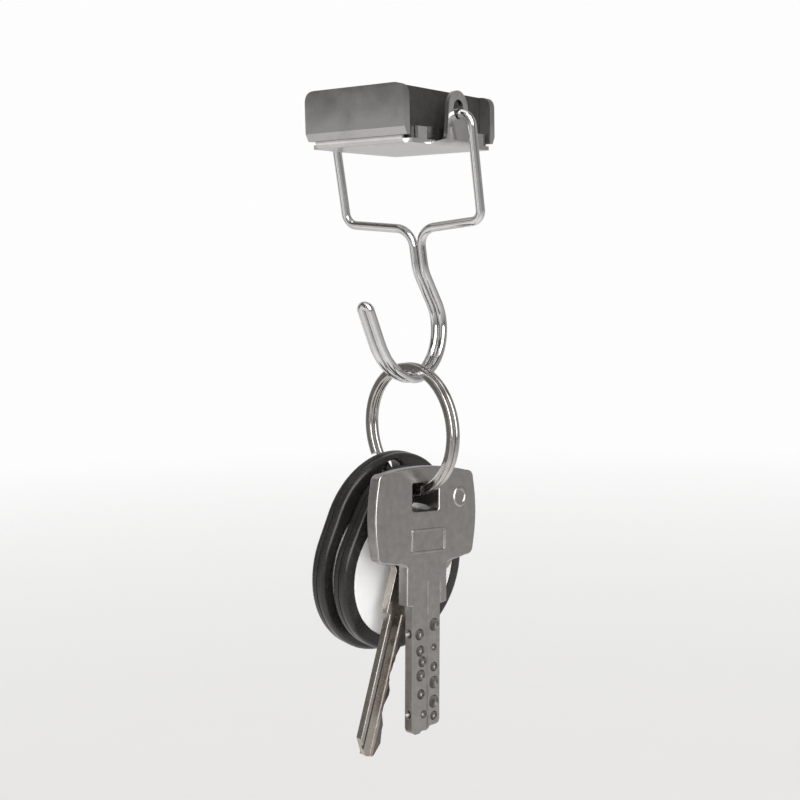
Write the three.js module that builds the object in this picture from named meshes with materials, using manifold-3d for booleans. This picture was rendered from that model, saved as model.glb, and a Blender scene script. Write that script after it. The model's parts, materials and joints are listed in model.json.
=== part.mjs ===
// Magnetic hook holder with a key ring: a pot-style magnet in a sheet metal cradle, a bent wire
// hook that swings in the cradle's ears, a split ring on the hook, and two keys and two round
// plastic fobs on the ring. Millimetres, +Z up. The origin is the centre of the magnet's
// contact face, which holds to a steel surface above, so the whole object hangs below z = 0.
// X runs along the hook's hinge axis.
import * as THREE from 'three';
import { mergeVertices } from 'three/addons/utils/BufferGeometryUtils.js';
import Module from 'manifold-3d';

// ---------------------------------------------------------------- driving dimensions
const POLE = { halfLength: 12.45, outer: 18.2, thickness: 2, depth: 10.2, corner: 2.5 };
const POLE_BEVEL = { inset: 0.9, height: 1.5 };
const MAGNET = { halfLength: 9.7, halfWidth: 16.1, depth: 8 };
const SPACER = { halfLength: 11.6, halfWidth: 15.3, top: -8.05, bottom: -10.7 };
const SHEET = 0.9;
const CRADLE = { bottom: -11.7, halfLength: 12.45, halfFlat: 15.5, lipLength: 10.9, lipRadius: 1.45 };
const EAR = { outer: 14.1, topRadius: 3.9, holeRadius: 2.05, holeZ: -4.2, bend: 1.5 };
const EAR_FLARE = [[4.1, -6.3], [4.7, -10], [5.4, -10.5], [7.2, -10.9], [9.1, -11.3], [9.6, -12.5]];
const TONGUE = { thickness: 0.7, from: 9.9, to: 13.2, top: -8.3 };

// How far a cutter reaches past the surface it cuts, and the length of one that goes right through.
const OVERCUT = 1;
const THROUGH = 40;

const WIRE_RADIUS = 1;
const HINGE_Z = -5;
const HOOK_SWING = THREE.MathUtils.degToRad(14.85);
const HOOK = { end: 12.2, centre: -0.92, pairHalf: 1.05, bend: 2.6, innerBend: 4.2, tipBend: 1.03 };
const HOOK_LEGS = { left: [-18.7, -19.8], right: [17, 15.9] };
const HOOK_BARS = { outer: 22.9, inner: 24.5, innerY: 5.6 };
const HOOK_BEND_POINTS = [[7.4, -37.9], [20.7, -56], [3.8, -62.5], [-7.3, -58.9]];
const HOOK_TIP = [-14.1, -45.7];
const HOOK_BENDS = [8.8, 10.1, 10.1, 16.6];

const RING = {
  centre: [-0.92, 2.2, -73.2], middle: 14, radial: 2, turn: 1.3, gap: 0.12, corner: 0.5, yaw: -16.1,
};
// Degrees round the ring: where its wire starts, how long the step between its turns is, and
// the space left between the wire's end and that step.
const RING_START = 223;
const RING_STEP = 12;
const RING_END_GAP = 2;

const DIMPLE_KEY = {
  u: 4.2, azimuth: 75, tilt: 4, lean: -5.4, thickness: 3, axis: -0.3, top: 5.4, bowWidth: 30.2,
  bowHeight: 22.1, bulge: 0.8, arch: 1.3, corners: [2.2, 2.2, 2.2, 2.2], neckWidth: 12, neckEnd: -25.3,
  bladeWidth: 8.4, tip: -54.2, hole: [-4.7, 3.1, -4.6, 1.75], holeCorner: 1,
};
const CUT_KEY = {
  u: 0.9, azimuth: 75, tilt: 1, lean: -20, thickness: 2.2, axis: 3.6, top: 5, bowWidth: 26,
  bowHeight: 23.5, bulge: 0.8, arch: 1.3,
  corners: [9, 9, 6, 6], neckWidth: 9, neckEnd: -28, bladeWidth: 6.8, tip: -59.6,
  hole: [-3.4, 9, -3.6, 2.1], holeCorner: 2,
};
// The milled slot down each face of the first key, and the pits on both sides of it.
const RIDGE = { at: 0.4, half: 0.35, depth: 0.5, start: 3 };
const PITS = { radius: 1.2, depth: 1.6, sink: 0.1, count: 5, start: 5, pitch: 4.6, offsets: [-2, 2.3] };
// The bitting of the second key, from its tip up, and the slot down each of its faces.
const CUTS = { start: 6, pitch: 3.9, flat: 1.1, depths: [0.9, 2.1, 1.2, 2.6, 1.7, 0.8] };
const SLOTS = { half: 0.7, depth: 0.7, start: 4, places: [[-2.2, -1], [0.4, 1]] };

const FOB = { thickness: 4.1, hole: 3.1, seam: 0.1, edge: 0.7 };
const LABEL = { rim: 3.1, notch: 4.9, thickness: 0.5, depth: 0.55, gap: 0.1 };
const COIL = { inner: 9.5, outer: 13.5, thickness: 0.7, gap: 0.3 };
const CHIP = { length: 6, width: 4, thickness: 0.8 };
const FOBS = {
  front_fob: {
    u: -4.1, azimuth: 78, tilt: -4.1, lean: 1.3, radius: 19, lobe: 13.8, lobeAt: 10.4, holeAt: 19.9,
  },
  rear_fob: {
    u: -8.9, azimuth: 78, tilt: -7, lean: 5.7, radius: 22.1, lobe: 18.8, lobeAt: 7.2, holeAt: 21.7,
  },
};

const wasm = await Module();
wasm.setup();

// ---------------------------------------------------------------- materials
function finish(color, roughness, metalness) {
  return new THREE.MeshStandardMaterial({ color, roughness, metalness });
}

const finishes = {
  pole: finish(0x7d7b78, 0.42, 1),
  magnet: finish(0x32302c, 0.8, 0.1),
  cradle: finish(0xb4b2ae, 0.25, 1),
  black: finish(0x282623, 0.35, 0),
  chrome: finish(0xc8c8c6, 0.12, 1),
  ring: finish(0x96918a, 0.28, 1),
  nickel: finish(0x8a867e, 0.35, 1),
  warmNickel: finish(0x9a9078, 0.35, 1),
  white: finish(0xebebee, 0.4, 0),
  copper: finish(0xb06a3c, 0.35, 1),
  chip: finish(0x1c1c1e, 0.5, 0),
};

// ---------------------------------------------------------------- solids
function toSolid(geometry) {
  const bare = geometry.index ? geometry.toNonIndexed() : geometry.clone();
  bare.deleteAttribute('normal');
  bare.deleteAttribute('uv');
  const merged = mergeVertices(bare, 1e-4);
  const vertProperties = new Float32Array(merged.attributes.position.array);
  const triVerts = new Uint32Array(merged.index.array);
  return new wasm.Manifold(new wasm.Mesh({ numProp: 3, vertProperties, triVerts }));
}

function toGeometry(solid) {
  const cut = solid.getMesh();
  const geometry = new THREE.BufferGeometry();
  geometry.setAttribute('position', new THREE.BufferAttribute(new Float32Array(cut.vertProperties), 3));
  geometry.setIndex(new THREE.BufferAttribute(new Uint32Array(cut.triVerts), 1));
  return geometry;
}

function named(name, shape, material) {
  const geometry = shape.isBufferGeometry ? shape : toGeometry(shape);
  geometry.computeVertexNormals();
  const mesh = new THREE.Mesh(geometry, material);
  mesh.name = name;
  return mesh;
}

function box(x, y, z) {
  const geometry = new THREE.BoxGeometry(x[1] - x[0], y[1] - y[0], z[1] - z[0]);
  return geometry.translate((x[0] + x[1]) / 2, (y[0] + y[1]) / 2, (z[0] + z[1]) / 2);
}

function outline(points) {
  return new THREE.Shape(points.map(([x, y]) => new THREE.Vector2(x, y)));
}

// An outline drawn in Y and Z, as a bar that runs along X.
function alongX(shape, halfLength) {
  const bar = new THREE.ExtrudeGeometry(shape, { depth: 2 * halfLength, bevelEnabled: false });
  const axes = [new THREE.Vector3(0, 1, 0), new THREE.Vector3(0, 0, 1), new THREE.Vector3(1, 0, 0)];
  return bar.applyMatrix4(new THREE.Matrix4().makeBasis(...axes)).translate(-halfLength, 0, 0);
}

// An outline drawn in X and Z, as a plate whose thickness is centred on y = 0.
function upright(shape, thickness, curveSegments = 8) {
  const plate = new THREE.ExtrudeGeometry(shape, { depth: thickness, bevelEnabled: false, curveSegments });
  return plate.rotateX(Math.PI / 2).translate(0, thickness / 2, 0);
}

// A disc that stands in the XZ plane, centred at height z.
function disc(radius, thickness, z = 0, segments = 40) {
  return new THREE.CylinderGeometry(radius, radius, thickness, segments).translate(0, 0, z);
}

// A closed outline whose corners are rounded, each by its own radius.
function roundedOutline(corners, radii) {
  const shape = new THREE.Shape();
  const count = corners.length;
  corners.forEach(([x, y], i) => {
    const [px, py] = corners[(i + count - 1) % count];
    const [nx, ny] = corners[(i + 1) % count];
    const before = new THREE.Vector2(px - x, py - y).normalize().multiplyScalar(radii[i]);
    const after = new THREE.Vector2(nx - x, ny - y).normalize().multiplyScalar(radii[i]);
    if (i === 0) shape.moveTo(x + before.x, y + before.y);
    else shape.lineTo(x + before.x, y + before.y);
    if (radii[i] > 0) shape.quadraticCurveTo(x, y, x + after.x, y + after.y);
  });
  shape.closePath();
  return shape;
}

// ---------------------------------------------------------------- swept wire
// A route of straight lengths and round bends, with its own steps and section directions.
class Route extends THREE.Curve {
  constructor(points, directions = null) {
    super();
    this.points = points;
    this.directions = directions;
  }

  getSpacedPoints() {
    return this.points;
  }

  getPoint(t, target = new THREE.Vector3()) {
    return target.copy(this.points[Math.round(t * (this.points.length - 1))]);
  }

  tangentAtStep(i) {
    const last = this.points.length - 1;
    const ahead = this.points[Math.min(i + 1, last)];
    return ahead.clone().sub(this.points[Math.max(i - 1, 0)]).normalize();
  }

  computeFrenetFrames() {
    const tangents = this.points.map((_, i) => this.tangentAtStep(i));
    const start = new THREE.Vector3(0, 1, 0);
    const normals = [];
    tangents.forEach((tangent, i) => {
      const hint = this.directions ? this.directions[i] : normals[i - 1] ?? start;
      normals.push(hint.clone().addScaledVector(tangent, -hint.dot(tangent)).normalize());
    });
    const binormals = tangents.map((tangent, i) => new THREE.Vector3().crossVectors(tangent, normals[i]));
    return { tangents, normals, binormals };
  }
}

// The points of a wire that is bent at each corner: corners are [position, bend radius].
function bentWire(corners, stepAngle) {
  const points = [corners[0][0]];
  for (let i = 1; i < corners.length - 1; i += 1) {
    const [corner, radius] = corners[i];
    const back = corners[i - 1][0].clone().sub(corner).normalize();
    const on = corners[i + 1][0].clone().sub(corner).normalize();
    const turn = Math.PI - back.angleTo(on);
    const reach = radius * Math.tan(turn / 2);
    const inward = back.clone().add(on).normalize();
    const centre = corner.clone().addScaledVector(inward, radius / Math.cos(turn / 2));
    const from = corner.clone().addScaledVector(back, reach).sub(centre);
    const forward = back.clone().negate();
    const steps = Math.max(2, Math.ceil(turn / stepAngle));
    for (let k = 0; k <= steps; k += 1) {
      const angle = (turn * k) / steps;
      const spoke = from.clone().multiplyScalar(Math.cos(angle));
      points.push(spoke.addScaledVector(forward, radius * Math.sin(angle)).add(centre));
    }
  }
  points.push(corners[corners.length - 1][0]);
  return points;
}

// ---------------------------------------------------------------- magnet and cradle
function polePlate(name, side) {
  const { halfLength, outer, thickness, depth, corner } = POLE;
  const face = [[-halfLength, -depth], [halfLength, -depth], [halfLength, 0], [-halfLength, 0]];
  const plate = upright(roundedOutline(face, [0, 0, corner, corner]), thickness);
  plate.translate(0, outer - thickness / 2, 0);
  const section = outline([
    [outer - thickness - OVERCUT, -depth - OVERCUT], [outer - POLE_BEVEL.inset, -depth],
    [outer, -depth + POLE_BEVEL.height], [outer, OVERCUT], [outer - thickness - OVERCUT, OVERCUT],
  ]);
  const solid = toSolid(plate).intersect(toSolid(alongX(section, halfLength + OVERCUT)));
  const mesh = named(name, solid, finishes.pole);
  if (side < 0) mesh.rotation.z = Math.PI;
  return mesh;
}

function magnetBlock() {
  const { halfLength, halfWidth, depth } = MAGNET;
  const block = box([-halfLength, halfLength], [-halfWidth, halfWidth], [-depth, 0]);
  return named('magnet_block', block, finishes.magnet);
}

function magnetSpacer() {
  const { halfLength, halfWidth, top, bottom } = SPACER;
  const slab = box([-halfLength, halfLength], [-halfWidth, halfWidth], [bottom, top]);
  return named('magnet_spacer', slab, finishes.black);
}

// The strip that crosses under the magnet and turns up into the two ears.
function earStrip() {
  const { outer, bend } = EAR;
  const inner = outer - SHEET;
  const floor = CRADLE.bottom;
  const profile = new THREE.Shape();
  profile.moveTo(outer, 0);
  profile.lineTo(outer, floor + bend);
  profile.absarc(outer - bend, floor + bend, bend, 0, -Math.PI / 2, true);
  profile.lineTo(bend - outer, floor);
  profile.absarc(bend - outer, floor + bend, bend, -Math.PI / 2, -Math.PI, true);
  profile.lineTo(-outer, 0);
  profile.lineTo(-inner, 0);
  profile.lineTo(-inner, floor + bend);
  profile.absarc(bend - outer, floor + bend, bend - SHEET, -Math.PI, -Math.PI / 2, false);
  profile.lineTo(outer - bend, floor + SHEET);
  profile.absarc(outer - bend, floor + bend, bend - SHEET, -Math.PI / 2, 0, false);
  profile.lineTo(inner, 0);
  profile.closePath();
  const ear = new THREE.Shape();
  ear.absarc(0, EAR.holeZ, EAR.topRadius, 0, Math.PI, false);
  EAR_FLARE.forEach(([y, z]) => ear.lineTo(-y, z));
  [...EAR_FLARE].reverse().forEach(([y, z]) => ear.lineTo(y, z));
  ear.closePath();
  const strip = toSolid(upright(profile, THROUGH)).intersect(toSolid(alongX(ear, outer + OVERCUT)));
  const hole = new THREE.CylinderGeometry(EAR.holeRadius, EAR.holeRadius, THROUGH, 28);
  return strip.subtract(toSolid(hole.rotateZ(Math.PI / 2).translate(0, 0, EAR.holeZ)));
}

// The floor of the cradle, whose long sides curl up under the pole plates.
function pan() {
  const { bottom, halfFlat, lipRadius, lipLength, halfLength } = CRADLE;
  const section = new THREE.Shape();
  section.moveTo(-halfFlat, bottom);
  section.lineTo(halfFlat, bottom);
  section.absarc(halfFlat, bottom + lipRadius, lipRadius, -Math.PI / 2, 0, false);
  section.absarc(halfFlat, bottom + lipRadius, lipRadius - SHEET, 0, -Math.PI / 2, true);
  section.absarc(-halfFlat, bottom + lipRadius, lipRadius - SHEET, -Math.PI / 2, -Math.PI, true);
  section.absarc(-halfFlat, bottom + lipRadius, lipRadius, -Math.PI, -Math.PI / 2, false);
  const lipped = toSolid(alongX(section, lipLength));
  const flat = box([-halfLength, halfLength], [-halfFlat, halfFlat], [bottom, bottom + SHEET]);
  return lipped.add(toSolid(flat));
}

function tongue(endSide, longSide) {
  const { thickness, from, to, top } = TONGUE;
  const x = [CRADLE.halfLength - thickness, CRADLE.halfLength].map((v) => v * endSide).sort((a, b) => a - b);
  const y = [from, to].map((v) => v * longSide).sort((a, b) => a - b);
  return toSolid(box(x, y, [CRADLE.bottom, top]));
}

function cradle() {
  let solid = earStrip().add(pan());
  for (const endSide of [-1, 1]) {
    for (const longSide of [-1, 1]) solid = solid.add(tongue(endSide, longSide));
  }
  return named('cradle', solid, finishes.cradle);
}

// ---------------------------------------------------------------- hook
// A point of the hook's flat frame: x across, reach along the frame away from the hinge.
function framePoint(x, reach) {
  return new THREE.Vector3(x, reach * Math.sin(HOOK_SWING), HINGE_Z - reach * Math.cos(HOOK_SWING));
}

function hookHalf(side) {
  const { end, centre, pairHalf, bend, innerBend } = HOOK;
  const x = centre + side * pairHalf;
  const [legTop, legBottom] = side > 0 ? HOOK_LEGS.right : HOOK_LEGS.left;
  const inner = framePoint(x, HOOK_BARS.inner);
  inner.y = HOOK_BARS.innerY;
  return [
    [new THREE.Vector3(side * end, 0, HINGE_Z), 0],
    [framePoint(legTop, 0), bend],
    [framePoint(legBottom, HOOK_BARS.outer), bend],
    [inner, innerBend],
    ...HOOK_BEND_POINTS.map(([y, z], i) => [new THREE.Vector3(x, y, z), HOOK_BENDS[i]]),
    [new THREE.Vector3(x, ...HOOK_TIP), 0],
  ];
}

function wireHook() {
  const near = hookHalf(1);
  const far = hookHalf(-1).reverse();
  const tip = near.pop()[0];
  const tipBack = far.shift()[0];
  const along = tip.clone().sub(near[near.length - 1][0]).normalize();
  const lead = along.multiplyScalar(HOOK.pairHalf);
  const corners = [...near, [tip.clone().add(lead), HOOK.tipBend]];
  corners.push([tipBack.clone().add(lead), HOOK.tipBend], ...far);
  const points = bentWire(corners, Math.PI / 14);
  const section = new THREE.Shape().absarc(0, 0, WIRE_RADIUS, 0, 2 * Math.PI, false);
  const geometry = new THREE.ExtrudeGeometry(section, {
    steps: points.length - 1, extrudePath: new Route(points), curveSegments: 6,
  });
  return named('wire_hook', geometry, finishes.chrome);
}

// ---------------------------------------------------------------- split ring
function splitRing() {
  const { middle, radial, turn, gap } = RING;
  const layer = (turn + gap) / 2;
  const total = 720 - RING_STEP - RING_END_GAP;
  const count = Math.round(total / 4);
  const points = [];
  const spokes = [];
  for (let i = 0; i <= count; i += 1) {
    const degrees = (total * i) / count;
    const angle = THREE.MathUtils.degToRad(RING_START + degrees);
    const shift = THREE.MathUtils.smoothstep(degrees, 360 - RING_STEP, 360);
    const spoke = new THREE.Vector3(Math.cos(angle), 0, Math.sin(angle));
    spokes.push(spoke);
    points.push(spoke.clone().multiplyScalar(middle).setY(layer * (1 - 2 * shift)));
  }
  const [w, h] = [radial / 2, turn / 2];
  const section = roundedOutline([[-w, -h], [w, -h], [w, h], [-w, h]], Array(4).fill(RING.corner));
  const geometry = new THREE.ExtrudeGeometry(section, {
    steps: count, extrudePath: new Route(points, spokes), curveSegments: 2,
  });
  return named('split_ring', geometry, finishes.ring);
}

// The centre of the ring's wire at a distance u from the ring's centre, below it.
function wireAt(u) {
  return new THREE.Vector3(u, 0, -Math.sqrt(RING.middle ** 2 - u ** 2));
}

// ---------------------------------------------------------------- keys
// Keys are drawn in X and Z around the point where the ring's wire carries them.
function bowShape(key) {
  const { axis, top, bowWidth, bowHeight, bulge, arch, corners, hole, holeCorner } = key;
  const half = bowWidth / 2 - bulge;
  const high = top - arch;
  const low = top - bowHeight + arch;
  const [tr, tl, bl, br] = corners;
  const side = bowWidth / 2 + bulge;
  const shape = new THREE.Shape();
  shape.moveTo(axis + half - tr, high);
  shape.quadraticCurveTo(axis, top + arch, axis - half + tl, high);
  shape.quadraticCurveTo(axis - half, high, axis - half, high - tl);
  shape.quadraticCurveTo(axis - side, (high + low) / 2, axis - half, low + bl);
  shape.quadraticCurveTo(axis - half, low, axis - half + bl, low);
  shape.quadraticCurveTo(axis, low - 2 * arch, axis + half - br, low);
  shape.quadraticCurveTo(axis + half, low, axis + half, low + br);
  shape.quadraticCurveTo(axis + side, (high + low) / 2, axis + half, high - tr);
  shape.quadraticCurveTo(axis + half, high, axis + half - tr, high);
  const [x0, x1, z0, z1] = hole;
  const slot = roundedOutline([[x0, z0], [x1, z0], [x1, z1], [x0, z1]], Array(4).fill(holeCorner));
  shape.holes.push(slot);
  return shape;
}

function neckShape({ axis, neckWidth, neckEnd, top, bowHeight }) {
  const half = neckWidth / 2;
  const root = top - bowHeight + 2 * OVERCUT;
  return outline([[axis - half, root], [axis - half, neckEnd], [axis + half, neckEnd], [axis + half, root]]);
}

function keySolid(key, bladeShape) {
  const plates = [bowShape(key), neckShape(key), bladeShape];
  return plates.map((shape) => toSolid(upright(shape, key.thickness))).reduce((a, b) => a.add(b));
}

// A cutter for a slot of the given half width that runs down one face of a blade.
function slotCutter({ half, depth, start }, { thickness, tip, neckEnd }, x, face) {
  const y = [face * (thickness / 2 - depth), face * (thickness / 2 + OVERCUT)].sort((a, b) => a - b);
  return toSolid(box([x - half, x + half], y, [tip - OVERCUT, neckEnd + start]));
}

function pitCutter({ axis, thickness, neckEnd }, i, face) {
  const { radius, depth, sink, start, pitch, offsets } = PITS;
  const pit = new THREE.ConeGeometry(radius, depth, 12).rotateX((face * Math.PI) / 2);
  const x = axis + offsets[i % offsets.length] * face;
  return toSolid(pit.translate(x, face * (thickness / 2 + sink), neckEnd - start - pitch * i));
}

function dimpleKey() {
  const { axis, bladeWidth, tip, neckEnd } = DIMPLE_KEY;
  const left = axis - bladeWidth / 2;
  const right = axis + bladeWidth / 2;
  const start = neckEnd + OVERCUT;
  const blade = outline([
    [left, start], [left, tip + 1.2], [left + 1, tip], [right - 2.6, tip],
    [right - 1.8, tip + 0.8], [right, tip + 0.8], [right, start],
  ]);
  let solid = keySolid(DIMPLE_KEY, blade);
  for (const face of [-1, 1]) {
    solid = solid.subtract(slotCutter(RIDGE, DIMPLE_KEY, axis + RIDGE.at, face));
    for (let i = 0; i < PITS.count; i += 1) solid = solid.subtract(pitCutter(DIMPLE_KEY, i, face));
  }
  return named('dimple_key', solid, finishes.nickel);
}

function cutKey() {
  const { axis, bladeWidth, tip, neckEnd } = CUT_KEY;
  const left = axis - bladeWidth / 2;
  const right = axis + bladeWidth / 2;
  const start = neckEnd + OVERCUT;
  const points = [[left, start], [left, tip + 3.6], [left + 2.6, tip], [right - 1.8, tip]];
  points.push([right - 0.4, tip + 3]);
  CUTS.depths.forEach((depth, i) => {
    const z = tip + CUTS.start + i * CUTS.pitch;
    points.push([right - depth, z], [right - depth, z + CUTS.flat]);
  });
  points.push([right, neckEnd - 1.5], [right, start]);
  let solid = keySolid(CUT_KEY, outline(points));
  for (const [x, face] of SLOTS.places) {
    solid = solid.subtract(slotCutter(SLOTS, CUT_KEY, axis + x, face));
  }
  return named('cut_key', solid, finishes.warmNickel);
}

// ---------------------------------------------------------------- fobs
// A fob's outline, drawn around its round centre with the hanging lobe above it.
function fobOutline({ radius, lobe, lobeAt }, inset) {
  const meet = Math.asin((radius - lobe) / lobeAt);
  const shape = new THREE.Shape();
  shape.absarc(0, lobeAt, lobe - inset, meet, Math.PI - meet, false);
  shape.absarc(0, 0, radius - inset, Math.PI - meet, meet, false);
  shape.closePath();
  return shape;
}

// One shell, face outwards at y = -thickness / 2 and open towards the seam at y = 0.
function fobShell(size) {
  const half = FOB.thickness / 2;
  const layers = [[0, FOB.seam / 2, half - FOB.edge], [FOB.edge, half - FOB.edge, half]];
  let solid = null;
  for (const [inset, from, to] of layers) {
    const layer = upright(fobOutline(size, inset), to - from, 20).translate(0, -(from + to) / 2, 0);
    solid = solid ? solid.add(toSolid(layer)) : toSolid(layer);
  }
  const recessDepth = LABEL.depth + OVERCUT;
  const recess = labelSolid(size, 0, recessDepth).translate(0, -(half - LABEL.depth + recessDepth / 2), 0);
  const pocketDepth = COIL.thickness / 2 + COIL.gap;
  const pocket = disc(COIL.outer + COIL.gap, 2 * pocketDepth);
  const hole = disc(FOB.hole, THROUGH, size.holeAt, 24);
  return solid.subtract(recess).subtract(toSolid(pocket)).subtract(toSolid(hole));
}

function labelSolid({ radius, holeAt }, gap, thickness) {
  const face = toSolid(disc(radius - LABEL.rim - gap, thickness, 0, 40));
  return face.subtract(toSolid(disc(LABEL.notch + gap, THROUGH, holeAt, 24)));
}

function antennaCoil() {
  const { inner, outer, thickness } = COIL;
  return toSolid(disc(outer, thickness)).subtract(toSolid(disc(inner, THROUGH)));
}

function fob(prefix, size) {
  const group = new THREE.Group();
  const face = FOB.thickness / 2 - LABEL.depth + LABEL.gap / 2;
  for (const [side, turn] of [['front', 0], ['rear', Math.PI]]) {
    const half = new THREE.Group();
    half.rotation.z = turn;
    const label = labelSolid(size, LABEL.gap, LABEL.thickness - LABEL.gap);
    const labelMesh = named(`${prefix}_${side}_label`, label, finishes.white);
    labelMesh.position.y = -(face + (LABEL.thickness - LABEL.gap) / 2);
    half.add(named(`${prefix}_${side}_shell`, fobShell(size), finishes.black), labelMesh);
    group.add(half);
  }
  const { length, width, thickness } = CHIP;
  const chip = new THREE.BoxGeometry(length, thickness, width);
  group.add(named(`${prefix}_antenna`, antennaCoil(), finishes.copper));
  group.add(named(`${prefix}_chip`, chip, finishes.chip));
  return group;
}

// ---------------------------------------------------------------- assembly
// Hangs a plate from the ring's wire. It is drawn in X and Z with its face towards -Y: azimuth
// and tilt turn that face, and lean swings its foot to the right in its own plane.
function hang(plate, { u, azimuth, tilt, lean }) {
  const [swung, tilted, hung] = [new THREE.Group(), new THREE.Group(), new THREE.Group()];
  swung.rotation.y = THREE.MathUtils.degToRad(-lean);
  swung.add(plate);
  tilted.rotation.x = THREE.MathUtils.degToRad(-tilt);
  tilted.add(swung);
  hung.rotation.z = THREE.MathUtils.degToRad(azimuth - RING.yaw);
  hung.position.copy(wireAt(u));
  hung.add(tilted);
  return hung;
}

function hungFob(name, size) {
  const body = fob(name, size);
  body.position.z = -size.holeAt;
  return hang(body, size);
}

const ringGroup = new THREE.Group();
ringGroup.position.set(...RING.centre);
ringGroup.rotation.z = THREE.MathUtils.degToRad(RING.yaw);
ringGroup.add(splitRing(), hang(dimpleKey(), DIMPLE_KEY), hang(cutKey(), CUT_KEY));
for (const [name, size] of Object.entries(FOBS)) ringGroup.add(hungFob(name, size));

const holder = new THREE.Group();
holder.add(cradle(), polePlate('pole_plate_front', -1), polePlate('pole_plate_rear', 1));
holder.add(magnetBlock(), magnetSpacer());

const keyHolder = new THREE.Group();
keyHolder.add(holder, wireHook(), ringGroup);

export default keyHolder;
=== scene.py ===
import json
import math

import bmesh
import bpy
from mathutils import Matrix, Vector


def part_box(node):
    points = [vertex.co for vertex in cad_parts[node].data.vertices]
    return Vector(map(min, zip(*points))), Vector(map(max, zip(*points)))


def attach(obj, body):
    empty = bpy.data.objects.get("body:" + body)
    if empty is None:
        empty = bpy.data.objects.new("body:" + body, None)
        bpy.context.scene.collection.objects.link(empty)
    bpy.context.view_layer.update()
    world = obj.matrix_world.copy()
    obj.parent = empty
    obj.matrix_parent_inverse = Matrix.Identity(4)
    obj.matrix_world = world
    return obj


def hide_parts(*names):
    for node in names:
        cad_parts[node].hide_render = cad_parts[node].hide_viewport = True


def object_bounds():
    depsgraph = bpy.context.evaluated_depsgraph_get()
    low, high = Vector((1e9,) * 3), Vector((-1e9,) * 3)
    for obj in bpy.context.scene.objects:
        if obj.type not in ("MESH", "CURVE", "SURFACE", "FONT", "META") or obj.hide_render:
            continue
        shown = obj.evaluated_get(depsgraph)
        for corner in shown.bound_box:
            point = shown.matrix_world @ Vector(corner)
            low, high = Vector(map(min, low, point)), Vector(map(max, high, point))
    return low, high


# A magnetic hook holder with a split ring, two keys and two round fobs. Pieces are drawn in
# millimetres, mostly around their own joint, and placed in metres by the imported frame.
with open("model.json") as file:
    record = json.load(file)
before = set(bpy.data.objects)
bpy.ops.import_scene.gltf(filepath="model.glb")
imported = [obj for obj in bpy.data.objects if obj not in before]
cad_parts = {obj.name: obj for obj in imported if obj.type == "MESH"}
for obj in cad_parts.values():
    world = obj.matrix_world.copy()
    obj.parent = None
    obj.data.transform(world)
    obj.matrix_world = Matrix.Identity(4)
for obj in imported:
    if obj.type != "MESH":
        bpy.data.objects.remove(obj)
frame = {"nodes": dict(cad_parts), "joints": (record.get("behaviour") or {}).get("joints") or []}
cad_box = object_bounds()
joints = {joint["name"]: joint for joint in frame["joints"]}

MM = 0.001
OVERCUT = 0.6
SAME_POINT = 1e-3

# The hook: the wire's radius, the lean of its frame, the x of its hinge ends and of its middle, and
# half the distance between its two halves. Each leg has its x at the top and at the bottom, the bars
# their reach from the hinge, and the bowl its corners as ((y, z), bend radius).
HOOK_WIRE = 1.0
HOOK_SWING = math.radians(14.85)
HOOK_END = 12.2
HOOK_CENTRE = -0.92
HOOK_PAIR = 1.05
HOOK_TIP_BEND = 1.03
HOOK_CORNER_BEND = 2.6
HOOK_INNER_BEND = 4.2
HOOK_LEGS = {-1: (-18.7, -19.8), 1: (17, 15.9)}
HOOK_BARS = {"outer": 22.9, "inner": 24.5, "inner_y": 5.6}
HOOK_BOWL = [((7.4, -37.9), 8.8), ((20.7, -56), 10.1), ((3.8, -62.5), 10.1), ((-7.3, -58.9), 16.6)]
HOOK_TIP = (-14.1, -45.7)
HOOK_SHARP = 50

# The ring: its middle radius, the section of its wire and the gap between its turns. The wire
# starts at an angle in degrees, steps across to the other turn and ends short of a full turn.
RING = {"middle": 14, "radial": 2, "turn": 1.3, "gap": 0.12, "corner": 0.5}
RING_START = 223
RING_STEP = 12
RING_END_GAP = 2
RING_SHARP = 40

# The keys hang along -Z from their pivot. The axis is the x of the blade's middle line, the corners
# run from the top right to the top left, lower left and lower right, and the hole is (x0, x1, z0, z1).
DIMPLE_KEY = {
    "lean": -5.4, "thickness": 3, "edge": 0.38, "axis": -0.3, "top": 5.4, "bow": (30.2, 22.1),
    "bulge": 0.8, "arch": 1.3, "corners": (2.2, 2.2, 2.2, 2.2), "neck": 12, "neck_end": -25.3,
    "blade": 8.4, "tip": -54.2, "hole": (-4.7, 3.1, -4.6, 1.75), "hole_corner": 0.6,
}
CUT_KEY = {
    "lean": -20, "thickness": 2.2, "edge": 0.2, "axis": 3.6, "top": 5, "bow": (26, 23.5),
    "bulge": 0.8, "arch": 1.3, "corners": (9, 9, 6, 6), "neck": 9, "neck_end": -28,
    "blade": 6.8, "tip": -59.6, "hole": (-3.4, 9, -3.6, 2.1), "hole_corner": 2,
}

# The rounding between a key's bow and its neck: where it starts, how far the bow dips there, and
# how far down the neck it ends. The bow's lower edge stops short of the neck by the clearance.
NECK_ROUND = {"out": 0.3, "dip": 0.1, "down": 0.5, "clearance": 1}

# A pit's walls as (share of its radius, height over the surface), from above the surface down.
PIT_PROFILE = [(1.2, 0.3), (1, -0.28), (0.75, -0.85), (0.3, -1.15)]
SIDE_PIT_PROFILE = [(1.2, 0.4), (0.4, -0.7)]
PIT_SIDES = 20

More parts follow.
